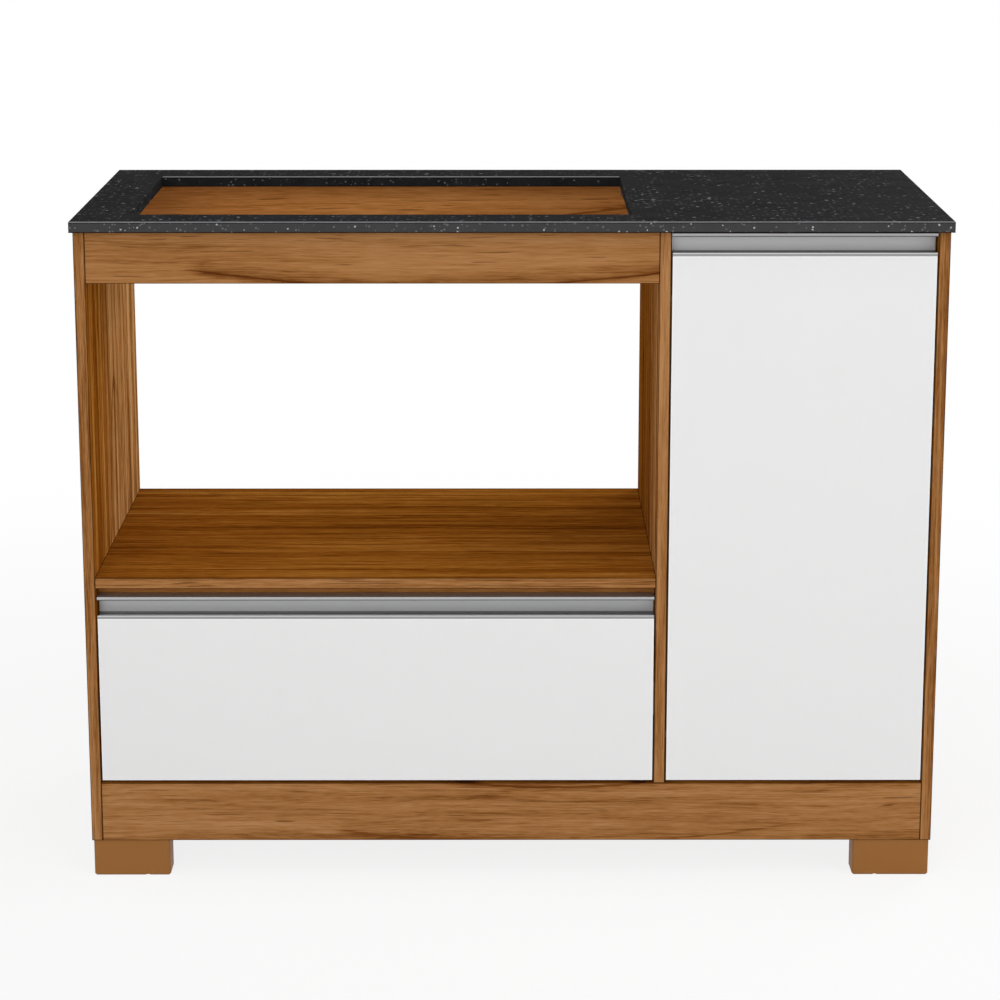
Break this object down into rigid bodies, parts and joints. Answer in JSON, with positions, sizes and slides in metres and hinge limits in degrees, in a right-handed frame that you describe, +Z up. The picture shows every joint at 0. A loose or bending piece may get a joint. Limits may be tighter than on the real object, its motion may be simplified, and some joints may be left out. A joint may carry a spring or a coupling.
{
  "type": "cooktop base cabinet",
  "caption": "Freestanding kitchen base unit with a cooktop cut-out, an open appliance niche over a wide drawer, and a hinged cupboard door beside them.",
  "frame": {"origin": "on the floor, under the middle of the whole cabinet's bounding box", "axes": "+X to the right along the cabinet as seen from the front, +Y to the back (the wall), +Z up"},
  "size_m": [1.162, 0.515, 0.915],
  "materials": {
    "walnut_board": "walnut wood-grain laminated board, satin",
    "hardboard": "thin brown fibreboard, matt",
    "stone_laminate": "laminated board with a dark speckled stone pattern, satin",
    "white_board": "white lacquered board, satin",
    "drawer_board": "off-white melamine board, matt",
    "handle_aluminium": "matt anodised aluminium profile",
    "foot_plastic": "plain brown plastic",
    "beech": "fluted beech dowel, raw",
    "cam_zinc": "die-cast zinc, bright",
    "bright_steel": "nickel-plated steel",
    "zinc_steel": "zinc-plated sheet steel",
    "screw_steel": "zinc-plated screws",
    "cage_steel": "thin plain steel strip",
    "stop_plastic": "soft clear-grey rubber"
  },
  "bodies": {
    "carcass": {"back_panel_door_bay": "hardboard", "back_panel_drawer_bay": "hardboard", "base_panel": "walnut_board", "bracket_screws": "screw_steel", "cam_bolts": "bright_steel", "cam_locks": "cam_zinc", "connecting_screws": "screw_steel", "cupboard_shelf": "walnut_board", "divider_panel": "walnut_board", "door_stops": "stop_plastic", "dowels": "beech", "foot_front_left": "foot_plastic", "foot_front_right": "foot_plastic", "foot_rear_left": "foot_plastic", "foot_rear_right": "foot_plastic", "foot_screws": "screw_steel", "front_stretcher": "walnut_board", "front_top_rail": "walnut_board", "hinge_arms": "bright_steel", "hinge_plate_screws": "bright_steel", "hinge_plates": "bright_steel", "niche_shelf": "walnut_board", "plinth_cross_rail": "walnut_board", "plinth_front": "walnut_board", "plinth_rear": "walnut_board", "rear_stretcher": "walnut_board", "rear_top_rail": "walnut_board", "recessed_rail": "walnut_board", "shelf_pins": "bright_steel", "side_panel_left": "walnut_board", "side_panel_right": "walnut_board", "slide_outer_members": "zinc_steel", "slide_wall_screws": "screw_steel", "worktop": "stone_laminate", "worktop_brackets": "zinc_steel"},
    "drawer": {"slide_inner_members": "zinc_steel", "slide_drawer_screws": "screw_steel", "drawer_front": "white_board", "drawer_handle": "handle_aluminium", "drawer_handle_screws": "screw_steel", "drawer_front_screws": "screw_steel", "drawer_side_left": "drawer_board", "drawer_side_right": "drawer_board", "drawer_box_front": "drawer_board", "drawer_box_back": "drawer_board", "drawer_bottom": "hardboard", "drawer_box_screws": "screw_steel"},
    "slide_middles": {"slide_middle_members": "zinc_steel"},
    "outer_cages": {"slide_outer_cages": "cage_steel", "slide_outer_balls": "bright_steel"},
    "inner_cages": {"slide_inner_cages": "cage_steel", "slide_inner_balls": "bright_steel"},
    "door": {"door_panel": "white_board", "door_handle": "handle_aluminium", "door_handle_screws": "screw_steel", "hinge_cups": "bright_steel", "hinge_pins": "bright_steel", "hinge_cup_screws": "bright_steel"}
  },
  "joints": [
    {"name": "drawer_slide", "type": "slide", "parent": "carcass", "child": "drawer", "axis": [0, -1, 0], "range_m": [0, 0.4]},
    {"name": "middle_slide", "type": "slide", "parent": "carcass", "child": "slide_middles", "axis": [0, -1, 0], "range_m": [0, 0.2]},
    {"name": "outer_cage_slide", "type": "slide", "parent": "carcass", "child": "outer_cages", "axis": [0, -1, 0], "range_m": [0, 0.1]},
    {"name": "inner_cage_slide", "type": "slide", "parent": "carcass", "child": "inner_cages", "axis": [0, -1, 0], "range_m": [0, 0.3]},
    {"name": "door_hinge", "type": "hinge", "parent": "carcass", "child": "door", "pos_m": [0.537, -0.2355, 0.50275], "axis": [0, 0, 1], "range_deg": [0, 95]}
  ],
  "couplings": [
    {"joint": "middle_slide", "follows": "drawer_slide", "ratio": 0.5},
    {"joint": "outer_cage_slide", "follows": "drawer_slide", "ratio": 0.25},
    {"joint": "inner_cage_slide", "follows": "drawer_slide", "ratio": 0.75}
  ]
}
